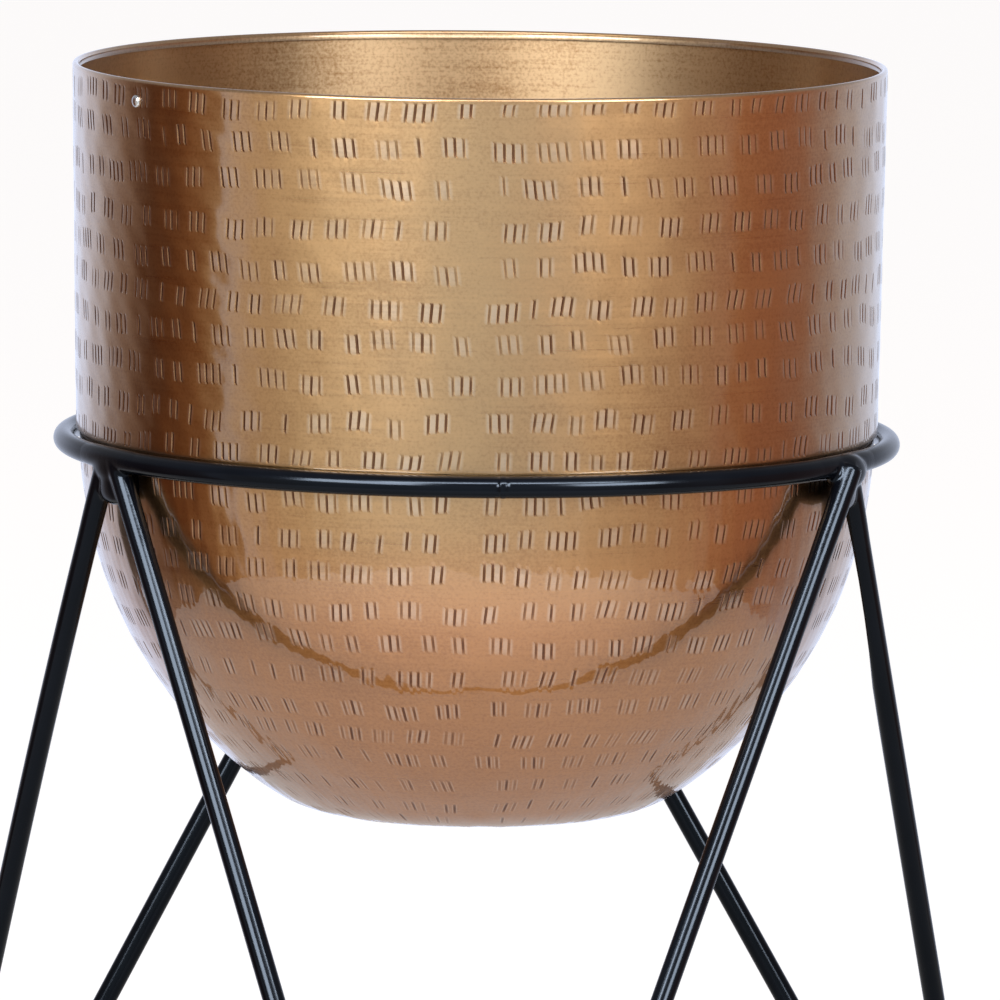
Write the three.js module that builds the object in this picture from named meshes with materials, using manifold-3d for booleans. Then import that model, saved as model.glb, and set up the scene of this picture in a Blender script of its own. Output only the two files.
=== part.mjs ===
// A hammered brass planter pot that hangs in the ring of a black stand bent from round bar.
// Millimetres, +Z up, front towards -Y. Azimuths are in degrees from the front, positive towards +X.
import * as THREE from "three";
import { mergeVertices } from "three/addons/utils/BufferGeometryUtils.js";
import Module from "manifold-3d";

const wasm = await Module();
wasm.setup();

// ---- Driving dimensions ----
const TOTAL_HEIGHT = 500; // floor to rim
const FIT_GAP = 0.3; // clearance between pieces that touch
const AROUND = 64; // facets round the pot and the ring
const MERGE_DISTANCE = 1e-4; // points closer than this are one point

// Pot: a tapered wall over a round-bottomed bowl, lapped and brazed at the seam.
const RIM_RADIUS = 150;
const WALL_HEIGHT = 135;
const WALL_TAPER = 2.05; // how much the radius shrinks from the rim to the seam
const SHEET = 1; // thickness of the brass
const HEM_HEIGHT = 3; // the rim is folded in once
const HEM_THICKNESS = 2.3;
const HEM_STEPS = 6; // facets over the rounded top of the hem
const LAP = 8; // how far the bowl's edge reaches up inside the wall
const BOWL_SIDE_RADIUS = 160.5; // profile arc under the seam
const BOWL_SIDE_SWEEP = 56.2; // degrees
const BOWL_SHOULDER_RADIUS = 44.5; // tighter arc down to the flat base
const BOWL_SIDE_STEPS = 8;
const BOWL_SHOULDER_STEPS = 4;

// Rivet just under the rim.
const RIVET_AZIMUTH = -55.9;
const RIVET_DROP = 7.8; // below the rim
const RIVET_SHANK_RADIUS = 1.3;
const RIVET_HEAD_RADIUS = 2.3;
const RIVET_HEAD_HEIGHT = 1.2;
const RIVET_TAIL_RADIUS = 2;
const RIVET_TAIL_HEIGHT = 0.9;
const RIVET_DOME_STEPS = 4;
const RIVET_DRILL_LENGTH = 12; // long enough to pass right through the wall

// Stand: a ring and three hairpin legs, all of one round bar.
const BAR_RADIUS = 4;
const BAR_SIDES = 16;
const BAR_CURVE_SEGMENTS = BAR_SIDES / 2; // for each half of the bar's section
const RING_RADIUS = 152.25; // to the middle of the bar
const RING_DROP = 139.2; // from the rim to the middle of the ring
const BUTT_AZIMUTH = 3.7; // where the ring's two ends are welded
const BUTT_WELD_WIDTH = 1.4;
const FOOT_RADIUS = 238.4; // from the pot's axis to a foot
const BEND_TOP = 13.6; // height at which a leg runs into its foot bend
const BEND_STEPS = 12;
const BOW_STEPS = 10;
const BOW_REACH = 9 / 4; // a control point this many bows out bulges the curve by one bow
const FLOOR_SIZE = 1000; // the block that grinds the bends flat
const FLOOR_DEPTH = 10;
const LEG_SPACING = 4.2; // a leg's top stands this far to the side of its joint
const SEATED_IN = -0.8; // a leg's top this far inside the ring's middle line
const SEATED_OUT = 5.5; // a leg's top against the ring's outer face
const WELD_HALF_WIDTH = 5.2; // of a web weld, across the ring
const WELD_HALF_HEIGHT = 10;
const WELD_DROP = 8; // middle of a web weld below the middle of the ring
const WELD_SIDES = 20;
const WELD_ROWS = 14;

const JOINTS = { left: -60.5, right: 61.3, rear: 185.5 };
const FEET = {
  left: { azimuth: -118, gap: 12 },
  front: { azimuth: -1.2, gap: 17 },
  right: { azimuth: 124.4, gap: 10 },
};
// side is +1 where the leg leaves its joint towards larger azimuths; bow is its outward bulge.
const LEGS = [
  { joint: "left", foot: "left", side: -1, seat: SEATED_IN, bow: 1.5 },
  { joint: "left", foot: "front", side: 1, seat: 0, bow: 0 },
  { joint: "right", foot: "front", side: -1, seat: SEATED_OUT, bow: 0 },
  { joint: "right", foot: "right", side: 1, seat: SEATED_IN, bow: 0 },
  { joint: "rear", foot: "right", side: -1, seat: 0, bow: 0 },
  { joint: "rear", foot: "left", side: 1, seat: 0, bow: 0 },
];

const RING_Z = TOTAL_HEIGHT - RING_DROP;
const SEAM_Z = TOTAL_HEIGHT - WALL_HEIGHT;

// ---- Materials ----
const brass = new THREE.MeshStandardMaterial({ color: 0x9a7242, roughness: 0.35, metalness: 1 });
const black = new THREE.MeshStandardMaterial({ color: 0x0b0c0e, roughness: 0.4, metalness: 0 });
const steel = new THREE.MeshStandardMaterial({ color: 0xb9bcc0, roughness: 0.3, metalness: 1 });

// ---- Helpers ----
function polar(azimuth, radius, z) {
  const angle = THREE.MathUtils.degToRad(azimuth);
  return new THREE.Vector3(radius * Math.sin(angle), -radius * Math.cos(angle), z);
}

function tangent(azimuth) {
  return polar(azimuth + 90, 1, 0);
}

// Points of an arc of the profile, with angles in degrees below the horizontal.
function arc(centre, radius, from, to, steps) {
  return Array.from({ length: steps + 1 }, (_, i) => {
    const angle = THREE.MathUtils.degToRad(from + ((to - from) * i) / steps);
    return new THREE.Vector2(
      centre.x + radius * Math.cos(angle),
      centre.y - radius * Math.sin(angle),
    );
  });
}

// A profile of [radius, height] points turned round the Z axis.
function turned(profile, segments) {
  return new THREE.LatheGeometry(profile, segments).rotateX(Math.PI / 2);
}

// A closed geometry as a solid that can be cut.
function solid(geometry) {
  const bare = geometry.clone();
  bare.deleteAttribute("normal");
  bare.deleteAttribute("uv");
  const merged = mergeVertices(bare, MERGE_DISTANCE);
  const triVerts = merged.index
    ? new Uint32Array(merged.index.array)
    : Uint32Array.from({ length: merged.attributes.position.count }, (_, i) => i);
  const vertProperties = merged.attributes.position.array;
  return new wasm.Manifold(new wasm.Mesh({ numProp: 3, vertProperties, triVerts }));
}

function geometryOf(cut) {
  const { vertProperties, triVerts } = cut.getMesh();
  const geometry = new THREE.BufferGeometry();
  geometry.setAttribute("position", new THREE.BufferAttribute(vertProperties, 3));
  geometry.setIndex(new THREE.BufferAttribute(triVerts, 1));
  geometry.computeVertexNormals();
  return geometry;
}

function cutBy(geometry, tools) {
  return geometryOf(tools.reduce((left, tool) => left.subtract(tool), solid(geometry)));
}

function bar(path, radius, steps) {
  const section = new THREE.Shape().absarc(0, 0, radius, 0, 2 * Math.PI);
  const curveSegments = BAR_CURVE_SEGMENTS;
  const options = { extrudePath: path, steps, curveSegments, bevelEnabled: false };
  return new THREE.ExtrudeGeometry(section, options);
}

function named(name, geometry, material) {
  const mesh = new THREE.Mesh(geometry, material);
  mesh.name = name;
  return mesh;
}

// ---- Pot ----
function wallRadius(z) {
  return RIM_RADIUS - (WALL_TAPER * (TOTAL_HEIGHT - z)) / WALL_HEIGHT;
}

// Where the rivet's head meets the outside of the wall.
function rivetSeat() {
  const z = TOTAL_HEIGHT - RIVET_DROP;
  return polar(RIVET_AZIMUTH, wallRadius(z), z);
}

function potWall() {
  const hemZ = TOTAL_HEIGHT - HEM_HEIGHT;
  const half = HEM_THICKNESS / 2;
  const rimCentre = new THREE.Vector2(RIM_RADIUS - half, TOTAL_HEIGHT - half);
  const profile = [
    new THREE.Vector2(wallRadius(SEAM_Z) - SHEET, SEAM_Z),
    new THREE.Vector2(wallRadius(SEAM_Z), SEAM_Z),
    ...arc(rimCentre, half, 0, -180, HEM_STEPS),
    new THREE.Vector2(RIM_RADIUS - HEM_THICKNESS, hemZ),
    new THREE.Vector2(wallRadius(hemZ) - SHEET, hemZ),
    new THREE.Vector2(wallRadius(SEAM_Z) - SHEET, SEAM_Z),
  ];
  const holeRadius = RIVET_SHANK_RADIUS + FIT_GAP;
  const hole = new THREE.CylinderGeometry(holeRadius, holeRadius, RIVET_DRILL_LENGTH, BAR_SIDES);
  const seat = rivetSeat();
  hole.applyMatrix4(new THREE.Matrix4().makeTranslation(seat).multiply(facing(RIVET_AZIMUTH)));
  return named("pot_wall", cutBy(turned(profile, AROUND), [solid(hole)]), brass);
}

// Turns +Y to point outwards at an azimuth.
function facing(azimuth) {
  const outward = polar(azimuth, 1, 0);
  const turn = new THREE.Quaternion().setFromUnitVectors(new THREE.Vector3(0, 1, 0), outward);
  return new THREE.Matrix4().makeRotationFromQuaternion(turn);
}

// Half of the bowl's profile, from the seam to the axis, inset from the outer surface.
function bowlArcs(inset) {
  const seamRadius = wallRadius(SEAM_Z) - SHEET - FIT_GAP;
  const side = new THREE.Vector2(seamRadius - BOWL_SIDE_RADIUS, SEAM_Z - FIT_GAP);
  const sweep = THREE.MathUtils.degToRad(BOWL_SIDE_SWEEP);
  const step = BOWL_SIDE_RADIUS - BOWL_SHOULDER_RADIUS;
  const shoulder = new THREE.Vector2(
    side.x + step * Math.cos(sweep),
    side.y - step * Math.sin(sweep),
  );
  const sideRadius = BOWL_SIDE_RADIUS - inset;
  const shoulderRadius = BOWL_SHOULDER_RADIUS - inset;
  const upper = arc(side, sideRadius, 0, BOWL_SIDE_SWEEP, BOWL_SIDE_STEPS);
  const lower = arc(shoulder, shoulderRadius, BOWL_SIDE_SWEEP, 90, BOWL_SHOULDER_STEPS);
  const base = new THREE.Vector2(0, shoulder.y - BOWL_SHOULDER_RADIUS + inset);
  return [...upper, ...lower.slice(1), base];
}

function potBowl() {
  const lapZ = SEAM_Z + LAP;
  const lapRadius = wallRadius(lapZ) - SHEET - FIT_GAP;
  const profile = [
    ...bowlArcs(0).reverse(),
    new THREE.Vector2(lapRadius, lapZ),
    new THREE.Vector2(lapRadius - SHEET, lapZ),
    ...bowlArcs(SHEET),
  ];
  return named("pot_bowl", turned(profile, AROUND), brass);
}

// A domed head outside, a shank through the wall and a flat tail inside.
function rimRivet() {
  const shankIn = -SHEET - 2 * FIT_GAP;
  const dome = arc(new THREE.Vector2(0, 0), 1, 0, -90, RIVET_DOME_STEPS).map(({ x, y }, step) => {
    const radius = step < RIVET_DOME_STEPS ? RIVET_HEAD_RADIUS * x : 0;
    return new THREE.Vector2(radius, FIT_GAP + RIVET_HEAD_HEIGHT * y);
  });
  const profile = [
    new THREE.Vector2(0, shankIn - RIVET_TAIL_HEIGHT),
    new THREE.Vector2(RIVET_TAIL_RADIUS, shankIn - RIVET_TAIL_HEIGHT),
    new THREE.Vector2(RIVET_TAIL_RADIUS, shankIn),
    new THREE.Vector2(RIVET_SHANK_RADIUS, shankIn),
    new THREE.Vector2(RIVET_SHANK_RADIUS, FIT_GAP),
    ...dome,
  ];
  const rivet = named("rim_rivet", new THREE.LatheGeometry(profile, BAR_SIDES), steel);
  rivet.position.copy(rivetSeat());
  rivet.quaternion.setFromRotationMatrix(facing(RIVET_AZIMUTH));
  return rivet;
}

// ---- Stand ----
// A closed ring of bar, as thick as the radius given.
function hoop(radius) {
  const centre = new THREE.Vector2(RING_RADIUS, RING_Z);
  return turned(arc(centre, radius, 0, -360, BAR_SIDES), AROUND);
}

// The ring is open where its ends meet, by the width of the weld and a clearance each side.
function standRing() {
  const opening = new THREE.BoxGeometry(
    BUTT_WELD_WIDTH + 2 * FIT_GAP,
    4 * BAR_RADIUS,
    4 * BAR_RADIUS,
  );
  opening.rotateZ(THREE.MathUtils.degToRad(BUTT_AZIMUTH));
  opening.translate(...polar(BUTT_AZIMUTH, RING_RADIUS, RING_Z));
  return named("stand_ring", cutBy(hoop(BAR_RADIUS), [solid(opening)]), black);
}

function buttWeld() {
  const bead = new THREE.CylinderGeometry(BAR_RADIUS, BAR_RADIUS, BUTT_WELD_WIDTH, BAR_SIDES);
  bead.rotateZ(Math.PI / 2);
  bead.rotateZ(THREE.MathUtils.degToRad(BUTT_AZIMUTH));
  bead.translate(...polar(BUTT_AZIMUTH, RING_RADIUS, RING_Z));
  return named("ring_butt_weld", bead, black);
}

// The middle line of a leg, from the middle of the ring's height down to the floor.
function legLine(leg) {
  const joint = JOINTS[leg.joint];
  const foot = FEET[leg.foot];
  const top = polar(joint, RING_RADIUS + leg.seat, RING_Z);
  top.addScaledVector(tangent(joint), leg.side * LEG_SPACING);
  const bottom = polar(foot.azimuth, FOOT_RADIUS, 0);
  bottom.addScaledVector(tangent(foot.azimuth), (-leg.side * foot.gap) / 2);
  return new THREE.Line3(top, bottom);
}

function pointAtHeight(line, z) {
  return line.at((line.start.z - z) / (line.start.z - line.end.z), new THREE.Vector3());
}

// A leg's bar down to a height. It bulges outwards by its bow, a third of the way down.
function legBar(leg, radius, endZ) {
  const line = legLine(leg);
  const end = pointAtHeight(line, endZ);
  const outward = line.getCenter(new THREE.Vector3()).setZ(0).normalize();
  const near = line.start.clone().lerp(end, 1 / 3);
  near.addScaledVector(outward, BOW_REACH * leg.bow);
  const far = line.start.clone().lerp(end, 2 / 3);
  const path = new THREE.CubicBezierCurve3(line.start, near, far, end);
  return bar(path, radius, leg.bow ? BOW_STEPS : 1);
}

function legs() {
  const ring = solid(hoop(BAR_RADIUS + FIT_GAP));
  return LEGS.map((leg) => {
    const bare = legBar(leg, BAR_RADIUS, BEND_TOP + FIT_GAP);
    return named(`leg_${leg.joint}_to_${leg.foot}`, cutBy(bare, [ring]), black);
  });
}

// A hairpin bend joins two legs at the floor. Its underside is ground flat.
function footBends() {
  const floor = new THREE.BoxGeometry(FLOOR_SIZE, FLOOR_SIZE, FLOOR_DEPTH);
  const ground = solid(floor.translate(0, 0, -FLOOR_DEPTH / 2));
  return Object.keys(FEET).map((foot) => {
    const [a, b] = LEGS.filter((leg) => leg.foot === foot).map(legLine);
    const path = new THREE.CubicBezierCurve3(
      pointAtHeight(a, BEND_TOP),
      a.end,
      b.end,
      pointAtHeight(b, BEND_TOP),
    );
    const bend = bar(path, BAR_RADIUS, BEND_STEPS);
    return named(`foot_bend_${foot}`, cutBy(bend, [ground]), black);
  });
}

// A web of weld metal fills the crotch between two legs, right up to the ring.
function webWelds() {
  const ring = solid(hoop(BAR_RADIUS + FIT_GAP));
  return Object.keys(JOINTS).map((joint) => {
    const pair = LEGS.filter((leg) => leg.joint === joint);
    const height = RING_Z - WELD_DROP;
    const [a, b] = pair.map((leg) => pointAtHeight(legLine(leg), height));
    const across = b.clone().sub(a);
    const web = new THREE.SphereGeometry(1, WELD_SIDES, WELD_ROWS);
    web.scale(across.length() / 2, WELD_HALF_WIDTH, WELD_HALF_HEIGHT);
    web.rotateZ(Math.atan2(across.y, across.x));
    web.translate(...a.clone().lerp(b, 0.5));
    const bars = pair.map((leg) => solid(legBar(leg, BAR_RADIUS + FIT_GAP, BEND_TOP)));
    return named(`web_weld_${joint}`, cutBy(web, [ring, ...bars]), black);
  });
}

// ---- Assembly ----
const stand = new THREE.Group();
stand.add(standRing(), buttWeld(), ...legs(), ...footBends(), ...webWelds());

const pot = new THREE.Group();
pot.add(potWall(), potBowl(), rimRivet());

const planter = new THREE.Group();
planter.add(stand, pot);

// The origin is on the floor, at the middle of the stand's and the pot's common box.
const footprint = new THREE.Box3().setFromObject(planter, true);
const middle = footprint.getCenter(new THREE.Vector3());
planter.position.set(-middle.x, -middle.y, -footprint.min.z);

export default planter;
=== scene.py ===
"""A hammered brass planter pot hanging in the ring of a black stand on hairpin legs.

Metres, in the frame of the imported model: +Z up, the front towards -Y.
Azimuths are in degrees from the front, positive towards +X.
"""
import math

import bpy
import numpy as np
from mathutils import Matrix, Vector


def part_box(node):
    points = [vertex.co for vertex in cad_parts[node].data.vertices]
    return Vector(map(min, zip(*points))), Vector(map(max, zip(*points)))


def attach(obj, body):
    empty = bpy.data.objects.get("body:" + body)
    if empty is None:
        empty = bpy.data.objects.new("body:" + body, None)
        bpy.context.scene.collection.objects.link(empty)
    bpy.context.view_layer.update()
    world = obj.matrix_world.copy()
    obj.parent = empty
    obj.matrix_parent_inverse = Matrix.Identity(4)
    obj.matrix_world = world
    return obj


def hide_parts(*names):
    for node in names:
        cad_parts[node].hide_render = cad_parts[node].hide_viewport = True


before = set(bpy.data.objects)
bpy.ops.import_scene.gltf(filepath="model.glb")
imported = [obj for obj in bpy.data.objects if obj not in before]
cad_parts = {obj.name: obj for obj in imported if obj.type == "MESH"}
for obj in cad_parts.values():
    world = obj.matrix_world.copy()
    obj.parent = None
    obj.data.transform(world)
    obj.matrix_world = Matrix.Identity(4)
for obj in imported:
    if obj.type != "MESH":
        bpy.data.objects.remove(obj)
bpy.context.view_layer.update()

MM = 0.001
SEED = 20
random = np.random.default_rng(SEED)

# ---- Places that follow from the frame ----
WALL_LOW, WALL_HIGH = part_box("pot_wall")
BOWL_LOW, BOWL_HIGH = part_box("pot_bowl")
RING_LOW, RING_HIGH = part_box("stand_ring")
AXIS = (WALL_LOW + WALL_HIGH) / 2
RIM_Z = WALL_HIGH.z
SEAM_Z = WALL_LOW.z
RIM_RADIUS = (WALL_HIGH.x - WALL_LOW.x) / 2
RING_Z = (RING_LOW.z + RING_HIGH.z) / 2
BAR_RADIUS = (RING_HIGH.z - RING_LOW.z) / 2
RING_RADIUS = (RING_HIGH.x - RING_LOW.x) / 2 - BAR_RADIUS

# ---- Sizes shared with the CAD source ----
FIT_GAP = 0.3 * MM
SHEET = 1 * MM
WALL_TAPER = 2.05 * MM
HEM_HEIGHT = 3 * MM
HEM_THICKNESS = 2.3 * MM
BOWL_SIDE_RADIUS = 160.5 * MM
BOWL_SIDE_SWEEP = math.radians(56.2)
BOWL_SHOULDER_RADIUS = 44.5 * MM
RIVET_AZIMUTH = -55.9
RIVET_DROP = 7.8 * MM
RIVET_SHANK_RADIUS = 1.3 * MM
RIVET_HEAD_RADIUS = 2.3 * MM
RIVET_HEAD_HEIGHT = 1.2 * MM
RIVET_HEAD_EDGE = 0.1 * MM
RIVET_TAIL_RADIUS = 2 * MM
RIVET_TAIL_HEIGHT = 0.9 * MM
BUTT_AZIMUTH = 3.7
FOOT_RADIUS = 238.4 * MM
BEND_TOP = 13.6 * MM
LEG_SPACING = 4.2 * MM
SEATED_IN = -0.8 * MM
SEATED_OUT = 5.5 * MM
BOW_REACH = 9 / 4
# joint: azimuth
JOINTS = {"left": -60.5, "right": 61.3, "rear": 185.5}
# foot: azimuth, and the gap that its two legs would have at the floor
FEET = {"left": (-118, 12 * MM), "front": (-1.2, 17 * MM), "right": (124.4, 10 * MM)}
# joint, foot, side of the joint, seat on the ring, bow
LEGS = [
    ("left", "left", -1, SEATED_IN, 1.5 * MM),
    ("left", "front", 1, 0, 0),
    ("right", "front", -1, SEATED_OUT, 0),
    ("right", "right", 1, SEATED_IN, 0),
    ("rear", "right", -1, 0, 0),
    ("rear", "left", 1, 0, 0),
]

# ---- Bars and welds ----
TUBE_SIDES = 24
RING_SIDES = 32
LEG_STEPS = 24
BUTT_HALF_GAP = 0.35 * MM
BEAD_HALF_WIDTH = 1.5 * MM
BEAD_HEIGHT = 0.2 * MM
WEB_TOP = -3 * MM
WEB_BOTTOM = 17 * MM
WEB_HALF_THICKNESS = 3.9 * MM
SADDLE_DROP = 2.5 * MM
SADDLE_HALF_LENGTH = 12.5 * MM
SADDLE_HALF_HEIGHT = 7 * MM
SADDLE_PROUD = 0.4 * MM
MELT = 0.34 * MM
MELT_SINK = 2.2
JOINT_HALF_SPAN = 11  # degrees
VOXEL = 0.5 * MM

# ---- Chisel marks ----
COLUMNS = 1168
ANGLES = np.arange(COLUMNS) * 2 * math.pi / COLUMNS
MARK_PITCH = 3.2 * MM
MARK_HALF_WIDTH = 0.72 * MM
MARK_HALF_FLOOR = 0.34 * MM
MARK_EDGES = (-MARK_HALF_WIDTH, -MARK_HALF_FLOOR, MARK_HALF_FLOOR, MARK_HALF_WIDTH)
MARK_COLUMNS = len(MARK_EDGES)
MARK_DEPTH = 0.26 * MM
BURR_HEIGHT = 0.05 * MM
ROW_PITCH = 14.2 * MM
ROW_WANDERS = ((1, 1.3 * MM), (3, 0.9 * MM))  # turns round the pot, and how far
GROUP_WANDER = 0.9 * MM
GROUP_LEAN = 0.05
# Levels across a row of marks: distance from the row's middle, and how deep the mark is there.
MARK_LEVELS = [(-3.9, 0.0), (-2.9, 0.7), (-1.2, 1.0), (1.2, 1.0), (2.9, 0.7), (3.9, 0.0)]
MARKS_IN_GROUP = [1, 2, 2, 3, 3, 3, 3, 3, 4]
GROUP_GAPS = (3 * MM, 8 * MM)
DISH_DEPTH = 0.05 * MM
DISH_SPREAD = 4.5 * MM
# The least distance between levels, where two rows of marks nearly meet, and the least
# distance that a slope is worked out over.
LEVEL_GAP = 0.35 * MM
STEP_FLOOR = 0.7 * MM
UNEVENNESS = 0.07 * MM
UNEVEN_WAVES = 24
LONGEST_WAVE = 60 * MM
SHORTEST_WAVE = 14 * MM
EDGE_FADE = 3 * MM
WALL_FIRST_ROW = 4.6 * MM
BOWL_FIRST_ROW = 12 * MM
BOWL_LAST_ROW = 6 * MM
BOWL_FADE = 0.45  # how much weaker the marks are in the bowl's lowest row

# ---- Camera and floor ----
CAMERA_DISTANCE = 4.8198
CAMERA_ELEVATION = math.radians(6.748)
CAMERA_ROLL = math.radians(0.56)
CAMERA_SIDE = 8.84 * MM
CAMERA_DROP = 161.72 * MM
SENSOR_WIDTH = 36
LENS = 469.6
NEAR_FLOOR_RADIUS = 0.62
FLOOR_RADIUS = 30
FLOOR_DROP = 0.5 * MM


def polar(azimuth, radius, z):
    """A point at an azimuth in degrees round the pot's axis."""
    angle = math.radians(azimuth)
    return Vector((AXIS.x + radius * math.sin(angle), AXIS.y - radius * math.cos(angle), z))


def tangent(azimuth):
    """The direction round the pot's axis, towards greater azimuths."""
    angle = math.radians(azimuth)
    return Vector((math.cos(angle), math.sin(angle), 0))


def outwards(azimuth):
    """The direction away from the pot's axis."""
    angle = math.radians(azimuth)
    return Vector((math.sin(angle), -math.cos(angle), 0))


# ---- Camera, room and lights ----
def make_camera():
    target = Vector((AXIS.x + CAMERA_SIDE, AXIS.y, RIM_Z - CAMERA_DROP))
    back = Vector((0, -math.cos(CAMERA_ELEVATION), math.sin(CAMERA_ELEVATION)))
    data = bpy.data.cameras.new("camera")
    data.sensor_width = SENSOR_WIDTH
    data.lens = LENS
    data.clip_end = 2 * FLOOR_RADIUS
    camera = bpy.data.objects.new("camera", data)
    bpy.context.scene.collection.objects.link(camera)
    turn = (-back).to_track_quat("-Z", "Y").to_matrix() @ Matrix.Rotation(CAMERA_ROLL, 3, "Z")
    camera.matrix_world = Matrix.Translation(target + back * CAMERA_DISTANCE) @ turn.to_4x4()
    bpy.context.scene.camera = camera


class Nodes:
    """A short way to write a node tree."""

    def __init__(self, tree):
        self.tree = tree
        self.tree.nodes.clear()

    def add(self, kind, inputs=None, **settings):
        node = self.tree.nodes.new(kind)
        for key, value in settings.items():
            setattr(node, key, value)
        for key, value in (inputs or {}).items():
            self.put(node.inputs[key], value)
        return node

    def put(self, socket, value):
        if isinstance(value, bpy.types.NodeSocket):
            self.tree.links.new(value, socket)
        elif isinstance(value, bpy.types.Node):
            self.tree.links.new(value.outputs[0], socket)
        else:
            socket.default_value = value

    def math(self, operation, *values):
        return self.add("ShaderNodeMath", dict(enumerate(values)), operation=operation)

    def ramp(self, value, stops):
        node = self.add("ShaderNodeValToRGB", {0: value})
        points = node.color_ramp.elements
        points[0].position, points[1].position = stops[0][0], stops[-1][0]
        for position, _ in stops[1:-1]:
            points.new(position)
        for point, (_, color) in zip(points, stops):
            shade = color if isinstance(color, (tuple, list)) else (color,) * 3
            point.color = (*shade, 1)
        return node

    def mix(self, factor, a, b, blend="MIX"):
        node = self.add("ShaderNodeMix", data_type="RGBA", blend_type=blend)
        self.put(node.inputs[0], factor)
        self.put(node.inputs[6], a)
        self.put(node.inputs[7], b)
        return node.outputs[2]


# The room's light round the horizon: azimuth, and colour.
ROOM = [
    (-180, (0.85, 0.94, 1.18)),
    (-152, (0.82, 0.89, 1.10)),
    (-142, (0.66, 0.70, 0.85)),
    (-134, (0.54, 0.54, 0.62)),
    (-127, (0.34, 0.29, 0.30)),
    (-118, (0.27, 0.19, 0.16)),
    (-108, (0.06, 0.018, 0.010)),
    (-97, (0.14, 0.052, 0.022)),
    (-89, (0.24, 0.10, 0.04)),
    (-84, (0.27, 0.12, 0.045)),
    (-79, (0.34, 0.18, 0.08)),
    (-77, (0.88, 0.96, 1.10)),
    (-72, (0.78, 0.72, 0.72)),
    (-65, (0.66, 0.56, 0.44)),
    (-52, (0.68, 0.64, 0.54)),
    (-40, (0.76, 0.79, 0.74)),
    (-23, (0.82, 0.89, 0.90)),
    (0, (0.86, 0.93, 0.93)),
    (23, (0.75, 0.75, 0.74)),
    (36, (0.57, 0.52, 0.47)),
    (50, (0.52, 0.44, 0.38)),
    (65, (0.57, 0.42, 0.33)),
    (74, (0.56, 0.38, 0.32)),
    (79, (0.48, 0.24, 0.15)),
    (95, (0.41, 0.20, 0.14)),
    (106, (0.41, 0.24, 0.20)),
    (116, (0.45, 0.38, 0.40)),
    (128, (0.58, 0.60, 0.70)),
    (142, (0.62, 0.68, 0.83)),
    (152, (0.76, 0.83, 1.00)),
    (180, (0.85, 0.94, 1.18)),
]
ROOM_SCALE = 2.0  # a colour ramp holds no more than 1
CEILING = (0.34, 0.34, 0.36, 1)
# name, azimuth, elevation, distance, width, height, radiance, whether it lights the stand alone
SOFTBOXES = [
    ("softbox_left", -32, 27, 2.4, 1.45, 1.05, 8, False),
    ("softbox_right", 39, 23, 2.4, 1.15, 0.75, 8, False),
    ("softbox_top", 8, 50, 2.4, 2.6, 0.95, 4, False),
    ("edge_light_left", -32, 27, 2.3, 1.2, 0.9, 28, True),
    ("edge_light_right", 39, 20, 2.3, 0.9, 0.8, 28, True),
    ("edge_light_top", 8, 46, 2.3, 2.4, 0.3, 46, True),
]


def make_room():
    """The light from all round. The camera sees it as plain white."""
    world = bpy.data.worlds.new("room")
    world.use_nodes = True
    bpy.context.scene.world = world
    n = Nodes(world.node_tree)
    direction = n.add("ShaderNodeSeparateXYZ", {0: n.add("ShaderNodeTexCoord").outputs["Generated"]})
    x, y, z = direction.outputs
    azimuth = n.math("ARCTAN2", x, n.math("MULTIPLY", y, -1.0))
    turn = n.math("MULTIPLY_ADD", azimuth, 1 / (2 * math.pi), 0.5)
    stops = [((a + 180) / 360, tuple(c / ROOM_SCALE for c in color)) for a, color in ROOM]
    level = n.ramp(turn, stops)
    height = n.ramp(z, [(0.15, 0.0), (0.45, 1.0)])
    around = n.add("ShaderNodeVectorMath", {0: level, 1: (ROOM_SCALE,) * 3}, operation="MULTIPLY")
    light = n.mix(height, around.outputs[0], CEILING)
    seen = n.mix(n.add("ShaderNodeLightPath").outputs["Is Camera Ray"], light, (1, 1, 1, 1))
    background = n.add("ShaderNodeBackground", {0: seen, 1: 1.0})
    n.add("ShaderNodeOutputWorld", {0: background.outputs[0]})
    bpy.context.scene.view_settings.view_transform = "Standard"


def make_softboxes(stand_pieces):
    """Area lights that face the ring. The last three light the stand alone."""
    stand = bpy.data.collections.new("lit_by_edge_lights")
    for piece in stand_pieces:
        stand.objects.link(piece)
    centre = Vector((AXIS.x, AXIS.y, RING_Z))
    for name, azimuth, elevation, distance, width, height, radiance, stand_only in SOFTBOXES:
        a, e = math.radians(azimuth), math.radians(elevation)
        away = Vector((math.sin(a) * math.cos(e), -math.cos(a) * math.cos(e), math.sin(e)))
        data = bpy.data.lights.new(name, "AREA")
        data.shape = "RECTANGLE"
        data.size, data.size_y = width, height
        data.energy = radiance * math.pi * width * height
        light = bpy.data.objects.new(name, data)
        bpy.context.scene.collection.objects.link(light)
        turn = away.to_track_quat("Z", "Y").to_matrix().to_4x4()
        light.matrix_world = Matrix.Translation(centre + away * distance) @ turn
        light.visible_camera = False
        if stand_only:
            light.light_linking.receiver_collection = stand


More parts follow.
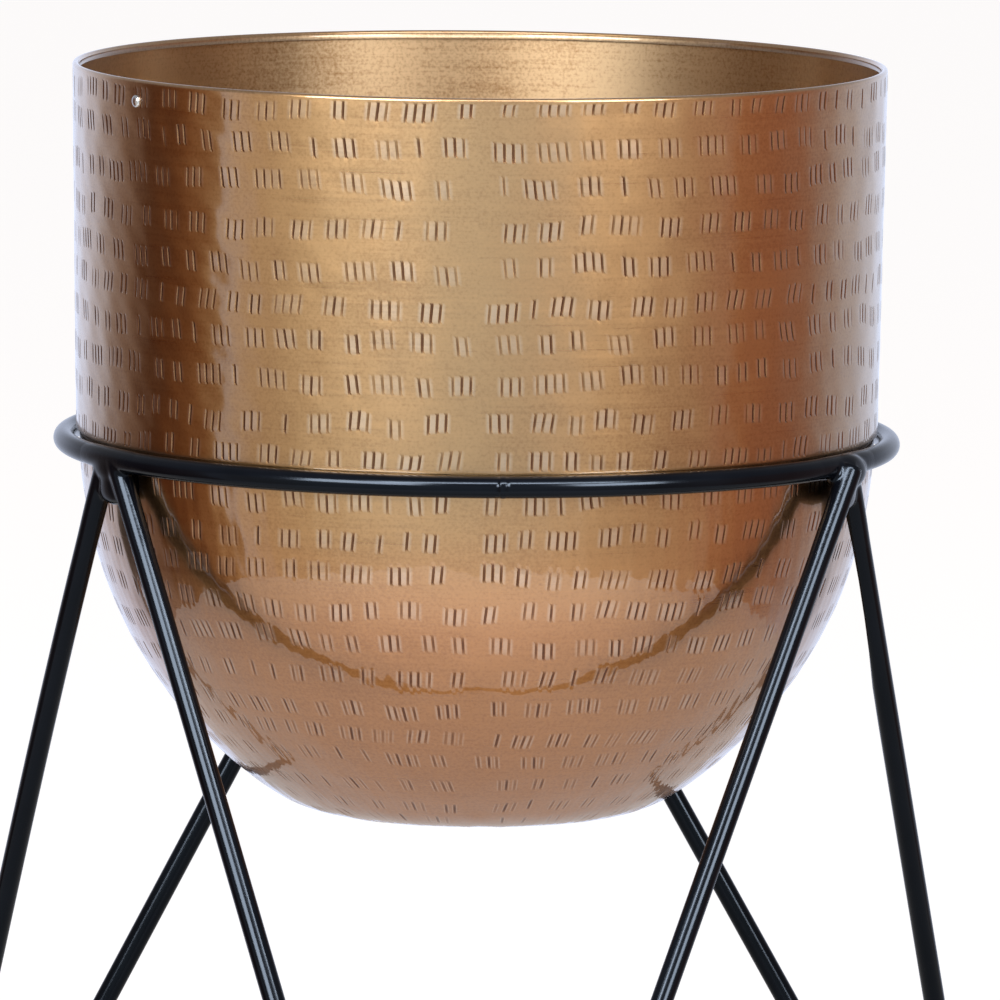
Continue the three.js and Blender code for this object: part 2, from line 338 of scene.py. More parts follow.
def floor_paint():
    """White to the camera. The brass mirrors a glow of it, darker under and behind the pot than in front
    of it: a painted shadow of the pot.
    """
    material = bpy.data.materials.new("floor")
    material.use_nodes = True
    n = Nodes(material.node_tree)
    rays = n.add("ShaderNodeLightPath").outputs
    paint = n.add("ShaderNodeBsdfDiffuse", {"Color": (0.30, 0.295, 0.29, 1)})
    place = n.add("ShaderNodeSeparateXYZ", {0: n.add("ShaderNodeTexCoord").outputs["Object"]})
    forward = n.math("MULTIPLY", place.outputs["Y"], -1.0)
    # Painted shadow of the pot: the glow that the brass mirrors is dimmer under and behind it.
    painted_pot_shadow = n.ramp(forward, [(0.0, 0.42), (0.1, 0.52), (0.25, 0.65), (0.42, 1.0)])
    mirrored = n.math("MULTIPLY", rays["Is Glossy Ray"], painted_pot_shadow)
    glow = n.add("ShaderNodeEmission", {"Color": (1, 0.98, 0.97, 1)})
    n.put(glow.inputs["Strength"], n.math("MULTIPLY_ADD", rays["Is Camera Ray"], 0.86, mirrored))
    n.add("ShaderNodeOutputMaterial", {0: n.add("ShaderNodeAddShader", {0: paint, 1: glow})})
    return material


def make_floor():
    """A pale floor. The brass mirrors only the part near the stand, and the room beyond it."""
    paint = floor_paint()
    angles = np.linspace(0, 2 * math.pi, 97)[:-1]
    for name, radius, drop in (("floor_near", NEAR_FLOOR_RADIUS, 0), ("floor", FLOOR_RADIUS, FLOOR_DROP)):
        mesh = bpy.data.meshes.new(name)
        points = [(radius * math.cos(a), radius * math.sin(a), -drop) for a in angles]
        mesh.from_pydata(points, [], [tuple(range(len(points)))])
        mesh.materials.append(paint)
        floor = bpy.data.objects.new(name, mesh)
        bpy.context.scene.collection.objects.link(floor)
        floor.visible_glossy = name == "floor_near"


# ---- Materials ----
def material_of(name, metallic):
    material = bpy.data.materials.new(name)
    material.use_nodes = True
    n = Nodes(material.node_tree)
    shader = n.add("ShaderNodeBsdfPrincipled", {"Metallic": metallic})
    n.add("ShaderNodeOutputMaterial", {0: shader})
    return material, n, shader


def spun_lines(n, fine):
    """Noise drawn out round the pot, as a lathe's brush leaves it. The map's V runs along the profile."""
    around = n.add("ShaderNodeUVMap", uv_map="around")
    where = n.add("ShaderNodeMapping", {"Vector": around, "Scale": (14, fine, 1)})
    return n.add("ShaderNodeTexNoise", {"Vector": where, "Scale": 1.0, "Detail": 4.0, "Roughness": 0.65})


# How the brass is tinted with height: golden at the rim and duller at the seam; under it, in the bowl,
# darker and more coppery towards the base, a painted shade.
TINTS_AND_PAINTED_SHADE = [
    (SEAM_Z - 137 * MM, (0.75, 0.52, 0.36)),
    (SEAM_Z - 60 * MM, (0.77, 0.58, 0.44)),
    (SEAM_Z - 20 * MM, (0.93, 0.87, 0.80)),
    (SEAM_Z - 3 * MM, (0.93, 0.90, 0.85)),
    (SEAM_Z + 1 * MM, (0.82, 0.80, 0.76)),
    (RIM_Z, (1.0, 1.0, 1.0)),
]
# How the inside is painted darker towards the left and right, by the distance from the frame's middle:
# painted shade, as the lamps light the inside's back more than its sides.
PAINTED_SIDE_SHADE = [
    (0.02, (1.0, 1.0, 1.0)),
    (0.065, (0.74, 0.76, 0.78)),
    (0.13, (0.48, 0.40, 0.33)),
]


def brass(name, bright, dark, inside):
    """Antiqued brass under lacquer. The marks are painted dark, a painted shade, and their burrs pale, a
    painted highlight.
    """
    material, n, shader = material_of(name, 1.0)
    place = n.add("ShaderNodeTexCoord").outputs["Object"]
    lines = spun_lines(n, 900)
    bands = spun_lines(n, 130)
    cloud = n.add("ShaderNodeTexNoise", {"Vector": place, "Scale": 16.0, "Detail": 5.0})
    grain = n.add("ShaderNodeTexNoise", {"Vector": place, "Scale": 900.0, "Detail": 3.0})
    streak = n.math("MULTIPLY_ADD", lines, 0.65, n.math("MULTIPLY", bands, 0.35))
    shade = n.math("MULTIPLY_ADD", streak, 0.32, n.math("MULTIPLY", cloud, 0.3))
    shade = n.math("MULTIPLY_ADD", grain, 0.38, shade)
    worn = tuple(1.12 * c for c in bright)
    color = n.ramp(shade, [(0.36, dark), (0.52, bright), (0.7, worn)]).outputs[0]
    across, _, height = n.add("ShaderNodeSeparateXYZ", {0: place}).outputs
    # Darker towards the seam, and in the bowl towards the base: painted shade there.
    color = n.mix(1.0, color, n.ramp(height, TINTS_AND_PAINTED_SHADE).outputs[0], "MULTIPLY")
    if inside:
        # Painted shade: the inside darker towards its left and right.
        sides = n.ramp(n.math("ABSOLUTE", across), PAINTED_SIDE_SHADE)
        color = n.mix(1.0, color, sides.outputs[0], "MULTIPLY")
        shader.inputs["Coat Weight"].default_value = 1.0
    else:
        mark = n.add("ShaderNodeAttribute", attribute_name="mark").outputs["Fac"]
        # Painted highlight: the marks' raised edges painted pale.
        painted_burr_highlight = n.math("MULTIPLY", n.math("MAXIMUM", n.math("MULTIPLY", mark, -1.0), 0.0), 0.3)
        # Painted shade: the marks' hollows painted dark brown, and the coat made thinner there.
        painted_mark_shade = n.math("MINIMUM", n.math("MULTIPLY", n.math("MAXIMUM", mark, 0.0), 1.4), 0.85)
        color = n.mix(painted_burr_highlight, color, (0.80, 0.70, 0.62, 1))
        color = n.mix(painted_mark_shade, color, (0.085, 0.026, 0.014, 1))
        n.put(shader.inputs["Coat Weight"], n.math("MULTIPLY_ADD", painted_mark_shade, -0.8, 1.0))
    n.put(shader.inputs["Base Color"], color)
    n.put(shader.inputs["Roughness"], n.math("MULTIPLY_ADD", streak, 0.2, 0.34 if inside else 0.2))
    relief = n.math("MULTIPLY_ADD", lines, 0.6, n.math("MULTIPLY", grain, 0.4))
    brushed = n.add("ShaderNodeBump", {"Height": relief, "Strength": 0.15, "Distance": 0.03 * MM})
    n.put(shader.inputs["Normal"], brushed)
    n.put(shader.inputs["Tangent"], n.add("ShaderNodeTangent", direction_type="RADIAL", axis="Z"))
    shader.inputs["Anisotropic"].default_value = 0.6
    shader.inputs["Anisotropic Rotation"].default_value = 0.25
    peel = n.add("ShaderNodeTexNoise", {"Vector": place, "Scale": 210.0, "Detail": 2.0})
    ripple = n.add("ShaderNodeBump", {"Height": peel, "Strength": 0.5, "Distance": 0.03 * MM})
    n.put(shader.inputs["Coat Normal"], ripple)
    shader.inputs["Coat Roughness"].default_value = 0.03
    shader.inputs["Coat IOR"].default_value = 1.7
    return material


def black_coat():
    material, n, shader = material_of("black_powder_coat", 0.0)
    place = n.add("ShaderNodeTexCoord").outputs["Object"]
    grain = n.add("ShaderNodeTexNoise", {"Vector": place, "Scale": 1100.0, "Detail": 2.0})
    peel = n.add("ShaderNodeTexNoise", {"Vector": place, "Scale": 300.0, "Detail": 2.0})
    cloud = n.add("ShaderNodeTexNoise", {"Vector": place, "Scale": 25.0, "Detail": 3.0})
    color = n.ramp(cloud, [(0.3, (0.0005, 0.0006, 0.001)), (0.7, (0.0012, 0.0015, 0.0024))])
    n.put(shader.inputs["Base Color"], color)
    n.put(shader.inputs["Roughness"], n.math("MULTIPLY_ADD", cloud, 0.08, 0.12))
    relief = n.math("MULTIPLY_ADD", grain, 0.4, n.math("MULTIPLY", peel, 0.6))
    coat = n.add("ShaderNodeBump", {"Height": relief, "Strength": 0.2, "Distance": 0.08 * MM})
    n.put(shader.inputs["Normal"], coat)
    shader.inputs["Specular IOR Level"].default_value = 0.14
    shader.inputs["Specular Tint"].default_value = (0.66, 0.8, 1.0, 1)
    return material


def rivet_steel():
    material, n, shader = material_of("rivet_steel", 1.0)
    place = n.add("ShaderNodeTexCoord").outputs["Object"]
    cloud = n.add("ShaderNodeTexNoise", {"Vector": place, "Scale": 700.0, "Detail": 3.0})
    color = n.ramp(cloud, [(0.3, (0.55, 0.56, 0.58)), (0.7, (0.78, 0.79, 0.81))])
    n.put(shader.inputs["Base Color"], color)
    n.put(shader.inputs["Roughness"], n.math("MULTIPLY_ADD", cloud, 0.2, 0.12))
    return material


# ---- Meshes ----
def add_piece(mesh, body, nodes):
    """An object of a mesh that rides on a body and stands for CAD nodes."""
    piece = bpy.data.objects.new(mesh.name, mesh)
    bpy.context.scene.collection.objects.link(piece)
    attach(piece, body)
    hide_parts(*nodes)
    return piece


def solid_mesh(name, solid, material):
    """A smooth mesh of a solid, which is its points and its faces."""
    points, faces = solid
    mesh = bpy.data.meshes.new(name)
    mesh.from_pydata(points, [], faces)
    mesh.polygons.foreach_set("use_smooth", [True] * len(faces))
    mesh.materials.append(material)
    return mesh


def add_iron(name, solid, material, nodes):
    """A piece of the stand."""
    return add_piece(solid_mesh(name, solid, material), "stand", nodes)


class Profile:
    """A line of straight stretches and arcs in the plane of radius and height, by arc length."""

    def __init__(self, start):
        self.points = [start]

    def line(self, end, steps=1):
        r, z = self.points[-1]
        for i in range(1, steps + 1):
            share = i / steps
            self.points.append((r + (end[0] - r) * share, z + (end[1] - z) * share))
        return self

    def arc(self, centre, radius, start, end, steps):
        """Angles are from outwards, positive upwards, in radians."""
        for i in range(1, steps + 1):
            angle = start + (end - start) * i / steps
            r = centre[0] + radius * math.cos(angle)
            self.points.append((r, centre[1] + radius * math.sin(angle)))
        return self

    def sampled(self):
        """Distances along the line, radii and heights."""
        radius, height = np.array(self.points).T
        along = np.concatenate([[0], np.cumsum(np.hypot(np.diff(radius), np.diff(height)))])
        return along, radius, height


def wave(across, along):
    """Smooth unevenness round the pot, about 1 high: a sum of waves that close on themselves."""
    total = np.zeros_like(along)
    for _ in range(UNEVEN_WAVES):
        length = LONGEST_WAVE * (SHORTEST_WAVE / LONGEST_WAVE) ** random.random()
        turns = round(2 * math.pi * RIM_RADIUS * random.normal() / length)
        phase = random.random() * 2 * math.pi
        total += np.sin(turns * across + 2 * math.pi * random.normal() * along / length + phase)
    return total / math.sqrt(UNEVEN_WAVES)


class Hammered:
    """The hammered outside of a turned sheet: a grid of levels and columns that follows its marks.

    A level is a line round the pot. It keeps its distance along the profile, its columns' shifts
    sideways, the depth of the marks there and the slope of their flanks, each for every column.
    """

    def __init__(self, profile, first_row, last_row, weakening):
        self.along, self.radius, self.height = profile.sampled()
        self.levels, self.shifts, self.depths, self.slopes = [], [], [], []
        self.dishes = []
        self.level(np.zeros(COLUMNS))
        rows = round((last_row - first_row) / ROW_PITCH)
        lean = 1
        for row in range(rows + 1):
            middle = first_row + (last_row - first_row) * row / max(rows, 1)
            lean = -lean if random.random() < 0.6 else lean
            self.row(middle, lean * (0.04 + 0.1 * random.random()), 1 - weakening * row / max(rows, 1))
        self.level(np.full(COLUMNS, self.along[-1]))
        self.join()

    def radius_at(self, along):
        return np.interp(along, self.along, self.radius)

    def level(self, along, shift=0.0, depth=0.0, slope=0.0):
        values = ((self.levels, along), (self.shifts, shift), (self.depths, depth), (self.slopes, slope))
        for kept, value in values:
            kept.append(np.broadcast_to(value, (COLUMNS,)).astype(float))

    def row(self, middle, lean, strength):
        """One row of groups of marks. They wander up and down, and each group leans a little."""
        spacing = 2 * math.pi * float(self.radius_at(middle)) / COLUMNS
        pitch = max(MARK_COLUMNS, round(MARK_PITCH / spacing))
        depth, pinch, slope = np.zeros((3, COLUMNS))
        knots, offsets, leans, dishes = [], [], [], []
        cursor = int(random.integers(0, 3 * pitch))
        end = COLUMNS - MARK_COLUMNS + min(cursor, pitch)
        while cursor < end - 2 * pitch:
            marks = min(int(random.choice(MARKS_IN_GROUP)), (end - cursor) // pitch)
            centre = cursor + pitch * marks / 2
            force = strength * (0.6 + 0.6 * random.random())
            for mark in range(marks):
                start = cursor + mark * pitch + int(random.integers(0, 2) if pitch > MARK_COLUMNS else 0)
                edge = abs(mark - (marks - 1) / 2) / max((marks - 1) / 2, 1)
                deep = MARK_DEPTH * force * (1 - 0.35 * edge) * (0.55 + 0.6 * random.random())
                fall = deep / (MARK_HALF_WIDTH - MARK_HALF_FLOOR)
                section = np.arange(start, start + MARK_COLUMNS) % COLUMNS
                pinch[section] = [MARK_EDGES[k] - (k - 1.5) * spacing for k in range(MARK_COLUMNS)]
                depth[section] = [-BURR_HEIGHT * force, deep, deep, -BURR_HEIGHT * force]
                slope[section] = [0, fall, -fall, 0]
            knots.append(centre)
            offsets.append(random.normal() * GROUP_WANDER)
            leans.append(lean + random.normal() * GROUP_LEAN)
            dishes.append((centre, force))
            cursor += marks * pitch + round(random.uniform(*GROUP_GAPS) / spacing)
        columns = np.arange(COLUMNS)
        wander = sum(size * np.sin(turns * ANGLES + random.random() * 6) for turns, size in ROW_WANDERS)
        offset = wander + np.interp(columns, knots, offsets, period=COLUMNS)
        leaning = np.interp(columns, knots, leans, period=COLUMNS)
        for distance, share in MARK_LEVELS:
            along = middle + offset + distance * MM
            shift = leaning * distance * MM + pinch * min(1.0, share * 1.6)
            self.level(along, shift, depth * share, slope * share)
        self.dishes.append((middle + offset, spacing, dishes))

    def join(self):
        """Puts a level between rows, then works out places and normals."""
        along = [self.levels[0]]
        shifts, depths, slopes = [self.shifts[0]], [self.depths[0]], [self.slopes[0]]
        per_row = len(MARK_LEVELS)
        for i in range(1, len(self.levels)):
            if (i - 1) % per_row == 0:
                along.append((self.levels[i - 1] + self.levels[i]) / 2)
                for kept in (shifts, depths, slopes):
                    kept.append(np.zeros(COLUMNS))
            along.append(self.levels[i])
            shifts.append(self.shifts[i])
            depths.append(self.depths[i])
            slopes.append(self.slopes[i])
        # Levels that would cross are held apart, and none passes the sheet's edges.
        steps = LEVEL_GAP * np.arange(len(along))[:, None]
        along = np.maximum.accumulate(np.array(along) - steps, axis=0) + steps
        along = np.minimum(along, self.along[-1] - steps[::-1])
        shifts, depths, slopes = np.array(shifts), np.array(depths), np.array(slopes)
        radius = self.radius_at(along)
        angle = ANGLES[None] + shifts / np.maximum(radius, 5 * MM)
        fade = np.clip(np.minimum(along, self.along[-1] - along) / EDGE_FADE, 0, 1)
        uneven = UNEVENNESS * wave(angle, along)
        for middle, spacing, dishes in self.dishes:
            near = np.exp(-(((along - middle[None]) / DISH_SPREAD) ** 2) / 2)
            hollow = np.zeros(COLUMNS)
            for centre, force in dishes:
                gap = (np.arange(COLUMNS) - centre + COLUMNS / 2) % COLUMNS - COLUMNS / 2
                hollow += force * np.exp(-((gap * spacing / DISH_SPREAD) ** 2) / 2)
            uneven -= DISH_DEPTH * near * hollow[None]
        uneven *= fade
        self.place(along, angle, radius, uneven, depths, slopes)

    def place(self, along, angle, radius, uneven, depths, slopes):
        height = np.interp(along, self.along, self.height)
        rise = np.interp(along, self.along, np.gradient(self.height, self.along))
        spread = np.interp(along, self.along, np.gradient(self.radius, self.along))
        length = np.hypot(rise, spread)
        out, up = -rise / length, spread / length  # the profile runs downwards
        lift = uneven - depths
        across = (np.roll(uneven, -1, 1) - np.roll(uneven, 1, 1)) / (4 * math.pi * radius / COLUMNS + 1e-9)
        step = np.maximum(np.gradient(along, axis=0), STEP_FLOOR)
        down = np.gradient(lift, axis=0) / step
        across = across - slopes
        r, z = radius + lift * out, height + lift * up
        sin, cos = np.sin(angle), np.cos(angle)
        self.points = np.stack([AXIS.x + r * sin, AXIS.y - r * cos, z], -1)
        outward = np.stack([out * sin, -out * cos, up], -1)
        sideways = np.stack([cos, sin, np.zeros_like(sin)], -1)
        along_way = np.stack([spread / length * sin, -spread / length * cos, rise / length], -1)
        normals = outward - across[..., None] * sideways - down[..., None] * along_way
        self.normals = normals / np.linalg.norm(normals, axis=-1, keepdims=True)
        self.marks = np.clip(depths / MARK_DEPTH, 0, 1) - np.clip(-depths / BURR_HEIGHT, 0, 1)
        self.across_map = np.broadcast_to(ANGLES[None] / (2 * math.pi), along.shape)
        self.along_map = along


def smooth_rings(profile):
    """The points and normals of a plain turned surface, level by level. Its outside is on its left."""
    along, radius, height = profile.sampled()
    out, up = -np.gradient(height, along), np.gradient(radius, along)
    length = np.hypot(out, up)
    sin, cos, one = np.sin(ANGLES), np.cos(ANGLES), np.ones(COLUMNS)
    radius, height = radius[:, None], height[:, None]
    out, up = (out / length)[:, None], (up / length)[:, None]
    points = np.stack([AXIS.x + radius * sin, AXIS.y - radius * cos, height * one], -1)
    normals = np.stack([out * sin, -out * cos, up * one], -1)
    return points, normals, along


def joined_levels(surface, rest):
    """A hammered surface and the plain stretches after it: points, normals, marks, map and kinds."""
    points, normals, marks = [surface.points], [surface.normals], [surface.marks]
    across, along = [surface.across_map], [surface.along_map]
    kinds = [0] * (len(surface.points) - 1)
    base = float(surface.along[-1])
    for profile, kind in rest:
        p, m, s = smooth_rings(profile)
        kinds += [kind] * len(p)
        points.append(p)
        normals.append(m)
        marks.append(np.zeros(p.shape[:2]))
        across.append(np.broadcast_to(np.arange(COLUMNS)[None] / COLUMNS, p.shape[:2]))
        along.append(np.broadcast_to((base + s)[:, None], p.shape[:2]))
        base += float(s[-1])
    kinds.append(kinds[-1])
    return [np.concatenate(part) for part in (points, normals, marks, across, along)] + [kinds]


def turned_sheet(name, surface, rest, materials, node):
    """One closed sheet: a hammered outside, then plain stretches that lead back to where it began."""
    points, normals, marks, across, along, kinds = joined_levels(surface, rest)
    levels = len(points)
    j, i = np.meshgrid(np.arange(levels), np.arange(COLUMNS), indexing="ij")
    here, below = j * COLUMNS, (j + 1) % levels * COLUMNS
    i2 = (i + 1) % COLUMNS
    faces = np.stack([here + i, below + i, below + i2, here + i2], -1).reshape(-1, 4)
    mesh = bpy.data.meshes.new(name)
    flat = points.reshape(-1, 3)
    mesh.vertices.add(len(flat))
    mesh.vertices.foreach_set("co", flat.astype(np.float32).ravel())
    mesh.loops.add(faces.size)
    mesh.loops.foreach_set("vertex_index", faces.astype(np.int32).ravel())
    mesh.polygons.add(len(faces))
    mesh.polygons.foreach_set("loop_start", np.arange(0, faces.size, 4, dtype=np.int32))
    mesh.update(calc_edges=True)
    mesh.polygons.foreach_set("use_smooth", np.ones(len(faces), bool))
    mesh.polygons.foreach_set("material_index", np.repeat(np.array(kinds, np.int32), COLUMNS))
    for material in materials:
        mesh.materials.append(material)
    mark = mesh.attributes.new("mark", "FLOAT", "POINT")
    mark.data.foreach_set("value", marks.astype(np.float32).ravel())
    turn = across.reshape(-1)[faces]
    start = turn[:, :2].min(1, keepdims=True)
    turn[:, 2:] = np.where(turn[:, 2:] < start - 0.5, turn[:, 2:] + 1, turn[:, 2:])
    uv = np.stack([turn * 2 * math.pi * RIM_RADIUS, along.reshape(-1)[faces]], -1)
    mesh.uv_layers.new(name="around").data.foreach_set("uv", uv.astype(np.float32).ravel())
    mesh.normals_split_custom_set_from_vertices(normals.reshape(-1, 3).astype(np.float32))
    return add_piece(mesh, "pot", [node])


def wall_radius(z):
    """The outer radius of the tapered wall."""
    return RIM_RADIUS - WALL_TAPER * (RIM_Z - z) / (RIM_Z - SEAM_Z)


def lap_radius(z):
    """The radius that fits inside the wall."""
    return wall_radius(z) - SHEET - FIT_GAP


def make_wall(materials):
    half = HEM_THICKNESS / 2
    top = RIM_Z - half
    hem = RIM_Z - HEM_HEIGHT
    seam = wall_radius(SEAM_Z)
    outside = Profile((RIM_RADIUS, top)).line((seam, SEAM_Z), 40)
    length = outside.sampled()[0][-1]
    surface = Hammered(outside, WALL_FIRST_ROW, length - WALL_FIRST_ROW, 0)
    edge = Profile((seam, SEAM_Z)).line((seam - SHEET, SEAM_Z))
    inside = Profile((seam - SHEET, SEAM_Z)).line((wall_radius(hem) - SHEET, hem), 12)
    step = Profile((wall_radius(hem) - SHEET, hem)).line((RIM_RADIUS - HEM_THICKNESS, hem))
    fold = Profile((RIM_RADIUS - HEM_THICKNESS, hem)).line((RIM_RADIUS - HEM_THICKNESS, top))
    bead = Profile((RIM_RADIUS - HEM_THICKNESS, top))
    bead.arc((RIM_RADIUS - half, top), half, math.pi, 0, 8)
    rest = [(edge, 1), (inside, 1), (step, 1), (fold, 1), (bead, 0)]
    return turned_sheet("hammered_wall", surface, rest, materials, "pot_wall")


def bowl_arcs(profile, inset, reverse):
    """The bowl's side and shoulder, from the seam down, or from the base up."""
    side = (lap_radius(SEAM_Z) - BOWL_SIDE_RADIUS, SEAM_Z - FIT_GAP)
    step = BOWL_SIDE_RADIUS - BOWL_SHOULDER_RADIUS
    shoulder = (side[0] + step * math.cos(BOWL_SIDE_SWEEP), side[1] - step * math.sin(BOWL_SIDE_SWEEP))
    low = -math.pi / 2
    if reverse:
        profile.arc(shoulder, BOWL_SHOULDER_RADIUS - inset, low, -BOWL_SIDE_SWEEP, 12)
        return profile.arc(side, BOWL_SIDE_RADIUS - inset, -BOWL_SIDE_SWEEP, 0, 24)
    profile.arc(side, BOWL_SIDE_RADIUS - inset, 0, -BOWL_SIDE_SWEEP, 160)
    return profile.arc(shoulder, BOWL_SHOULDER_RADIUS - inset, -BOWL_SIDE_SWEEP, low, 80)


def make_bowl(materials):
    seam = (lap_radius(SEAM_Z), SEAM_Z - FIT_GAP)
    base, top = BOWL_LOW.z, BOWL_HIGH.z
    axis = 0.5 * MM  # the rings stop this far from the axis, which leaves a pinhole in the base
    outside = bowl_arcs(Profile(seam), 0, False)
    flat = outside.points[-1][0]
    length = outside.sampled()[0][-1]
    surface = Hammered(outside, BOWL_FIRST_ROW, length - BOWL_LAST_ROW, BOWL_FADE)
    under = Profile((flat, base)).line((axis, base), 10)
    floor = Profile((axis, base + SHEET)).line((flat, base + SHEET), 6)
    inside = bowl_arcs(Profile((flat, base + SHEET)), SHEET, True)
    lap = Profile(inside.points[-1]).line((lap_radius(top) - SHEET, top))
    lip = Profile((lap_radius(top) - SHEET, top)).line((lap_radius(top), top))
    back = Profile((lap_radius(top), top)).line(seam)
    rest = [(under, 0), (floor, 1), (inside, 1), (lap, 1), (lip, 1), (back, 1)]
    return turned_sheet("hammered_bowl", surface, rest, materials, "pot_bowl")


def ring_of(centre, first, second, sides):
    """Points of an ellipse round a centre, from its two half-axes."""
    angles = [2 * math.pi * k / sides for k in range(sides)]
    return [centre + first * math.cos(angle) + second * math.sin(angle) for angle in angles]


def lofted(sections):
    """Points and faces of a closed solid through sections, each a ring of points."""
    points = [point for section in sections for point in section]
    count = len(sections[0])
    faces = []
    for row in range(len(sections) - 1):
        a, b = row * count, (row + 1) * count
        faces += [(a + k, a + (k + 1) % count, b + (k + 1) % count, b + k) for k in range(count)]
    faces.append(tuple(reversed(range(count))))
    faces.append(tuple(range(len(points) - count, len(points))))
    return points, faces


def tube(path, radii, sides=TUBE_SIDES):
    """Points and faces of a closed bar along a path, with a radius for each point."""
    sections = []
    side = None
    for i, (centre, radius) in enumerate(zip(path, radii)):
        ahead = (path[min(i + 1, len(path) - 1)] - path[max(i - 1, 0)]).normalized()
        if side is None:
            side = ahead.orthogonal().normalized()
        side = (side - ahead * side.dot(ahead)).normalized()
        sections.append(ring_of(centre, side * radius, ahead.cross(side) * radius, sides))
    return lofted(sections)


def bar(path, sides=TUBE_SIDES):
    """A closed bar of the stand's own radius."""
    return tube(path, [BAR_RADIUS] * len(path), sides)


def bezier(a, b, c, d, steps):
    """Points on a cubic curve."""
    points = []
    for i in range(steps + 1):
        t = i / steps
        points.append(a * (1 - t) ** 3 + b * 3 * t * (1 - t) ** 2 + c * 3 * t * t * (1 - t) + d * t**3)
    return points


def leg_ends(leg):
    """Where a leg's middle line starts, in the ring, and where it would meet the floor."""
    joint, foot, side, seat, _ = leg
    azimuth, gap = FEET[foot]
    top = polar(JOINTS[joint], RING_RADIUS + seat, RING_Z) + tangent(JOINTS[joint]) * side * LEG_SPACING
    bottom = polar(azimuth, FOOT_RADIUS, 0) - tangent(azimuth) * side * gap / 2
    return top, bottom


def leg_path(leg, steps=LEG_STEPS):
    """A leg's middle line, from the ring to its foot bend, with its bow."""
    top, bottom = leg_ends(leg)
    end = top.lerp(bottom, (top.z - BEND_TOP) / top.z)
    outward = (top + bottom) / 2
    outward = Vector((outward.x - AXIS.x, outward.y - AXIS.y, 0)).normalized()
    near = top.lerp(end, 1 / 3) + outward * BOW_REACH * leg[4]
    return bezier(top, near, top.lerp(end, 2 / 3), end, steps)


def keep_clear_of_pot(points):
    """Moves points of the stand out of the space that the pot is lowered into."""
    for point in points:
        away = Vector((point.x - AXIS.x, point.y - AXIS.y))
        push = max(RING_RADIUS - BAR_RADIUS - away.length, 0) / away.length
        point.x += away.x * push
        point.y += away.y * push


def make_hairpin(foot, material):
    """One bar: down a leg, round the foot bend and up the other leg, ground flat underneath."""
    first, second = [leg for leg in LEGS if leg[1] == foot]
    down, up = leg_path(first), leg_path(second)
    bend = bezier(down[-1], leg_ends(first)[1], leg_ends(second)[1], up[-1], LEG_STEPS)
    points, faces = bar(down + bend[1:-1] + up[::-1])
    keep_clear_of_pot(points)
    for point in points:
        point.z = max(point.z, 0)
    nodes = [f"leg_{leg[0]}_to_{foot}" for leg in (first, second)] + [f"foot_bend_{foot}"]
    return add_iron(f"hairpin_{foot}", (points, faces), material, nodes)


def ring_path(start, end, steps):
    """Points on the ring's middle line, between two azimuths."""
    return [polar(start + (end - start) * i / steps, RING_RADIUS, RING_Z) for i in range(steps + 1)]


def make_ring(material):
    gap = math.degrees(BUTT_HALF_GAP / RING_RADIUS)
    path = ring_path(BUTT_AZIMUTH + gap, BUTT_AZIMUTH + 360 - gap, 360)
    return add_iron("ring_bar", bar(path, RING_SIDES), material, ["stand_ring"])


def make_butt_weld(material):
    """A low bead of weld where the ring's two ends meet."""
    half = math.degrees(BEAD_HALF_WIDTH / RING_RADIUS)
    steps = 12
    path = ring_path(BUTT_AZIMUTH - half, BUTT_AZIMUTH + half, steps)
    radii = [BAR_RADIUS + BEAD_HEIGHT * (math.sin(math.pi * i / steps) - 0.4) for i in range(steps + 1)]
    return add_iron("butt_weld_bead", tube(path, radii, RING_SIDES), material, ["ring_butt_weld"])


def weld_web(first, second, outward):
    """The weld that fills the crotch between two legs, from the ring down to its rounded lower end."""
    sections = []
    rows = 14
    for row in range(rows + 1):
        share = row / rows
        drop = WEB_TOP + (WEB_BOTTOM - WEB_TOP) * share
        ends = [top.lerp(bottom, drop / top.z) for top, bottom in (first, second)]
        middle, across = (ends[0] + ends[1]) / 2, (ends[1] - ends[0]) / 2
        size = math.sqrt(max(1 - (2 * share - 1) ** 4, 0.02))
        sections.append(ring_of(middle, across * size, outward * WEB_HALF_THICKNESS * size, TUBE_SIDES))
    return lofted(sections)


def weld_saddle(centre, across, outward, half_thickness):
    """The weld that wraps the ring where the legs meet it: an ellipsoid drawn out along the ring."""
    sections = []
    rows = 16
    for row in range(rows + 1):
        reach = math.cos(math.pi * (row + 0.1) / (rows + 0.2))
        size = math.sqrt(1 - reach * reach)
        middle = centre - across * SADDLE_HALF_LENGTH * reach
        down = Vector((0, 0, -SADDLE_HALF_HEIGHT * size))
        sections.append(ring_of(middle, down, outward * half_thickness * size, TUBE_SIDES))
    return lofted(sections)


def melted(share):
    """The bar's radius where it is melted: proud where share is 0, and just under the bar at -1 and 1."""
    return BAR_RADIUS + MELT * (1 - MELT_SINK * abs(share) ** 3)


